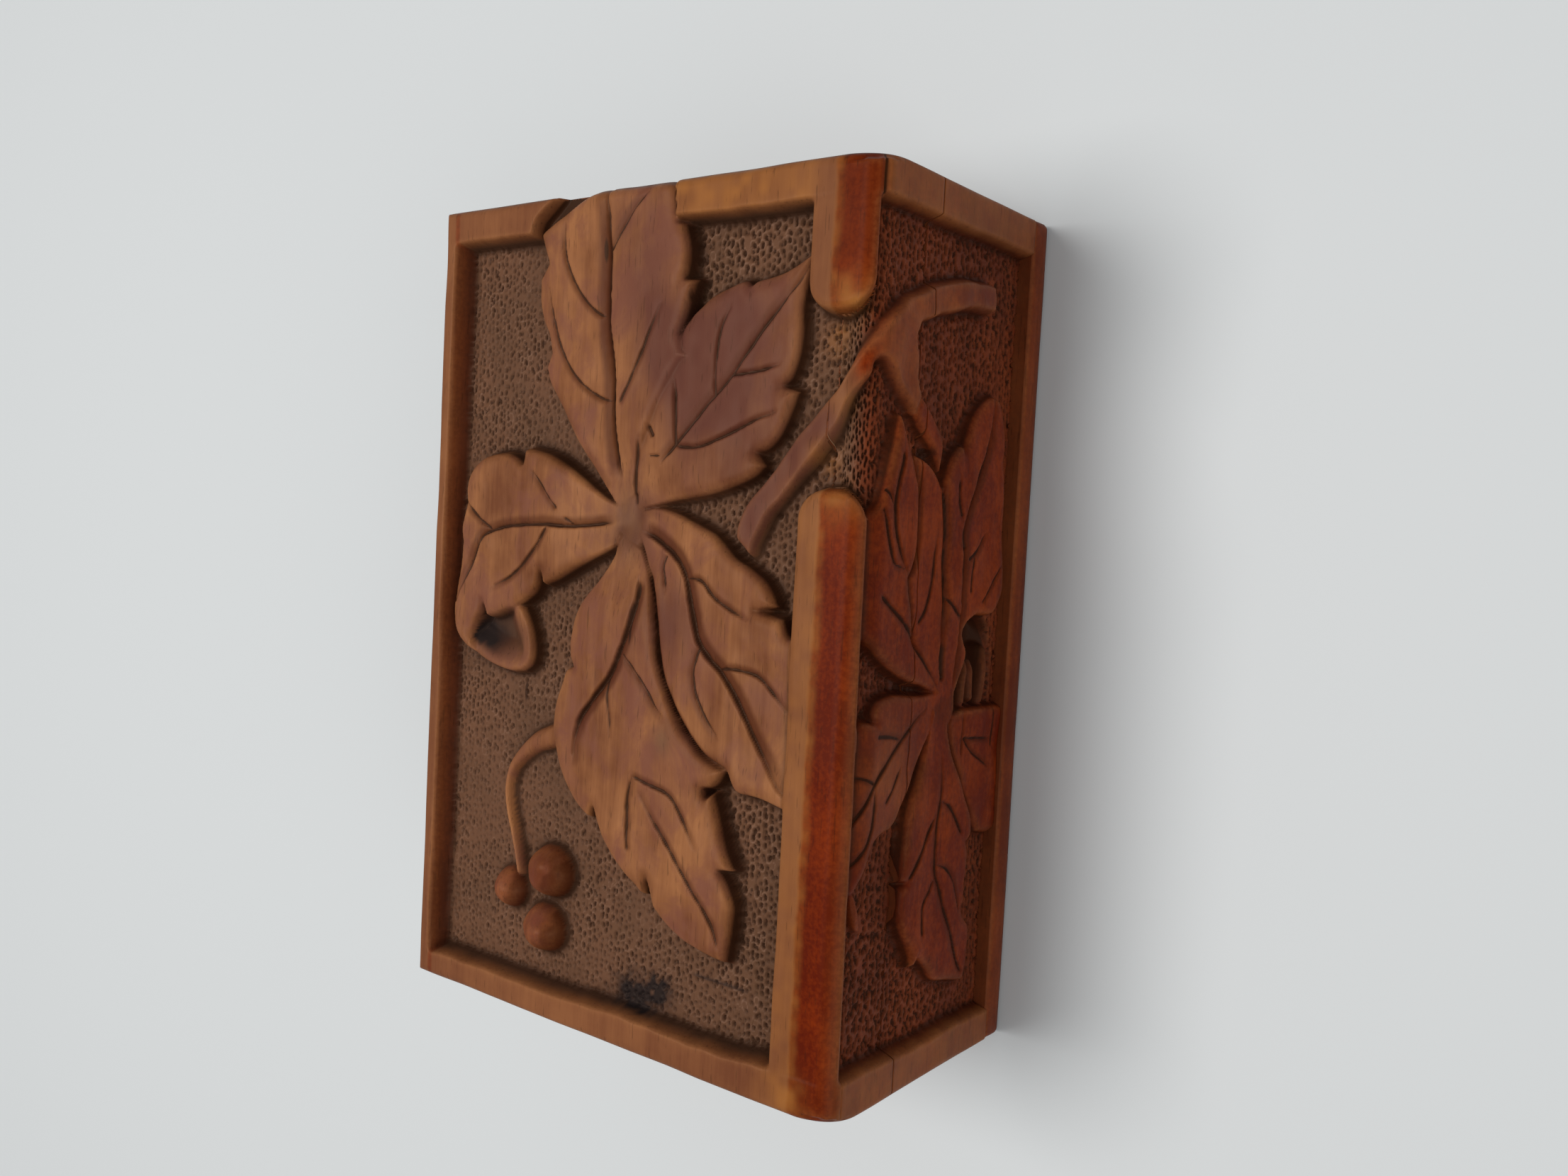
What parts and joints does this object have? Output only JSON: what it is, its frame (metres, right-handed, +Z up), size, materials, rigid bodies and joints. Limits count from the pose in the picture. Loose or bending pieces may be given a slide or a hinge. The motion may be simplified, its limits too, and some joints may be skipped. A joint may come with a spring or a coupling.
{
  "type": "carved wooden box",
  "caption": "Small rectangular wooden keepsake box with a back-hinged lid, carved in relief with a lobed creeper leaf, branch and berries on a punched sunken ground.",
  "frame": {"origin": "middle of the flat underside", "axes": "+X along the length to the viewer's right, -Y out of the carved front, +Z up"},
  "size_m": [0.1215, 0.0841, 0.045],
  "materials": {
    "wood_base": "stained and varnished, worn",
    "wood_lid": "stained and varnished, worn",
    "hinge_brass": "aged",
    "screw_brass": "aged"
  },
  "bodies": {
    "base": {"base_bottom": "wood_base", "base_front": "wood_base", "base_back": "wood_base", "base_left": "wood_base", "base_right": "wood_base", "left_hinge_base_leaf": "hinge_brass", "left_hinge_pin": "hinge_brass", "left_hinge_base_screws": "screw_brass", "right_hinge_base_leaf": "hinge_brass", "right_hinge_pin": "hinge_brass", "right_hinge_base_screws": "screw_brass"},
    "lid": {"lid_panel": "wood_lid", "lid_front_apron": "wood_lid", "lid_back_apron": "wood_lid", "lid_left_apron": "wood_lid", "lid_right_apron": "wood_lid", "left_hinge_lid_leaf": "hinge_brass", "left_hinge_lid_screws": "screw_brass", "right_hinge_lid_leaf": "hinge_brass", "right_hinge_lid_screws": "screw_brass"}
  },
  "joints": [
    {"name": "lid_hinge", "type": "hinge", "parent": "base", "child": "lid", "pos_m": [0, 0.0422, 0.0303], "axis": [-1, 0, 0], "range_deg": [0, 180]}
  ]
}
